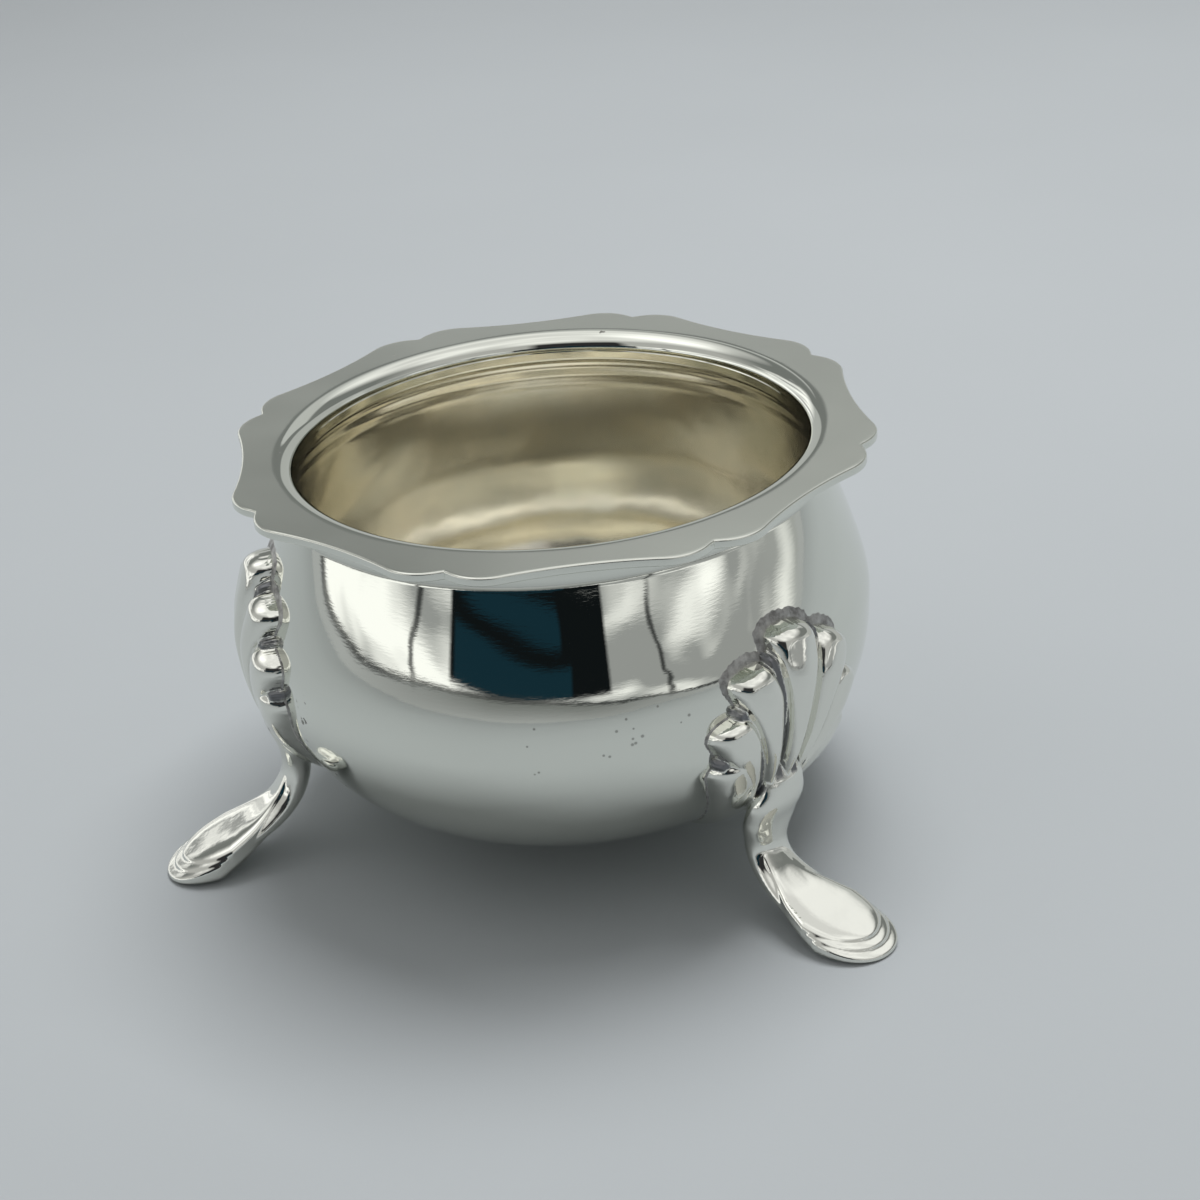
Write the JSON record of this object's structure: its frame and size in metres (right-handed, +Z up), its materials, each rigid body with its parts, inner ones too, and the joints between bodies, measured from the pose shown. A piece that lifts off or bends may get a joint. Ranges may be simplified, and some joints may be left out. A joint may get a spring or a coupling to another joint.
{
  "type": "salt cellar",
  "caption": "Round silver cauldron salt cellar with a shaped everted rim and gilt inside, on cast legs with shell knees and stepped feet.",
  "frame": {"origin": "on the axis of the bowl, level with the soles of the feet", "axes": "+Z up the axis of the bowl, +Y towards the leg that stands alone at the back, +X to the right"},
  "size_m": [0.0759, 0.0764, 0.0416],
  "materials": {
    "bowl_silver": "polished sterling silver, inside washed with worn gilding",
    "cast_silver": "polished cast silver, tarnished in the grooves",
    "solder": "dull grey silver solder"
  },
  "bodies": {
    "root": {"bowl": "bowl_silver", "leg_rear": "cast_silver", "leg_front_left": "cast_silver", "leg_front_right": "cast_silver", "solder_rear": "solder", "solder_front_left": "solder", "solder_front_right": "solder"}
  },
  "joints": []
}
